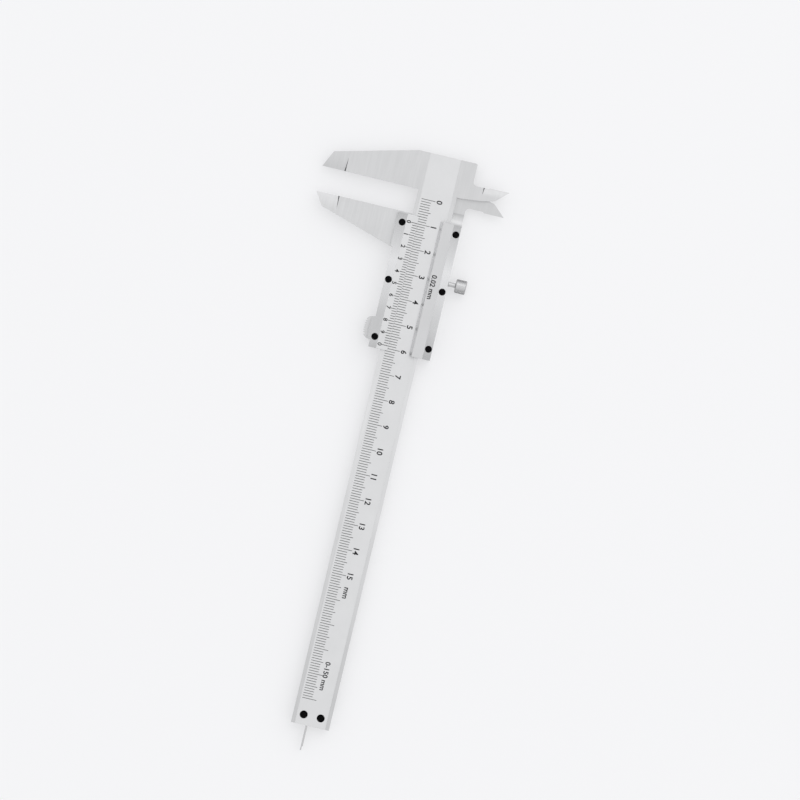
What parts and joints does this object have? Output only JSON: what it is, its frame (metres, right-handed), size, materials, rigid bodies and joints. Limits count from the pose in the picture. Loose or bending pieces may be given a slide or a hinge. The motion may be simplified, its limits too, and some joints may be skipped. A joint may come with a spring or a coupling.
{
  "type": "vernier caliper",
  "caption": "Vernier caliper with a graduated beam, outer and inner jaws, a two-plate vernier slider, a knurled clamp screw, a thumb rest and a depth rod.",
  "frame": {"origin": "middle of the foot: the centre of the bounding box on the plane the caliper's back lies on", "axes": "+X along the beam from the head to the tail, +Y towards the inner jaws, +Z out of the graduated face"},
  "size_m": [0.2386, 0.0736, 0.0076],
  "materials": {
    "ground_steel": "surface-ground hardened stainless steel, fine straight grain",
    "satin_chrome": "glare-free satin chrome, with polished screw strips",
    "polished_steel": "polished stainless steel",
    "blacked_steel": "blacked steel, slightly glossy",
    "spring_bronze": "rolled phosphor bronze strip"
  },
  "bodies": {
    "beam": {"main_beam": "ground_steel", "tail_stop": "ground_steel", "tail_screw_lower": "blacked_steel", "tail_screw_upper": "blacked_steel"},
    "slider": {"slider_frame": "ground_steel", "vernier_plate": "satin_chrome", "guide_plate": "satin_chrome", "plate_screw_lower_1": "blacked_steel", "plate_screw_lower_2": "blacked_steel", "plate_screw_lower_3": "blacked_steel", "plate_screw_upper_1": "blacked_steel", "plate_screw_upper_2": "blacked_steel", "plate_screw_upper_3": "blacked_steel", "leaf_spring": "spring_bronze", "gib_screw_front": "blacked_steel", "gib_screw_rear": "blacked_steel", "depth_rod": "polished_steel", "rod_screw_1": "polished_steel", "rod_screw_2": "polished_steel"},
    "clamp_screw": {"clamp_stud": "polished_steel"},
    "clamp_grip": {"clamp_knob": "polished_steel"}
  },
  "joints": [
    {"name": "measure", "type": "slide", "parent": "beam", "child": "slider", "axis": [1, 0, 0], "range_m": [-0.01, 0.14]},
    {"name": "clamp_feed", "type": "slide", "parent": "slider", "child": "clamp_screw", "axis": [0, 1, 0], "range_m": [0, 0.000675]},
    {"name": "clamp_turn", "type": "hinge", "parent": "clamp_screw", "child": "clamp_grip", "pos_m": [-0.0711, 0.0264, 0.0038], "axis": [0, 1, 0], "range_deg": [0, 541]}
  ],
  "couplings": [
    {"joint": "clamp_turn", "follows": "clamp_feed", "rad_per_m": 13963}
  ]
}
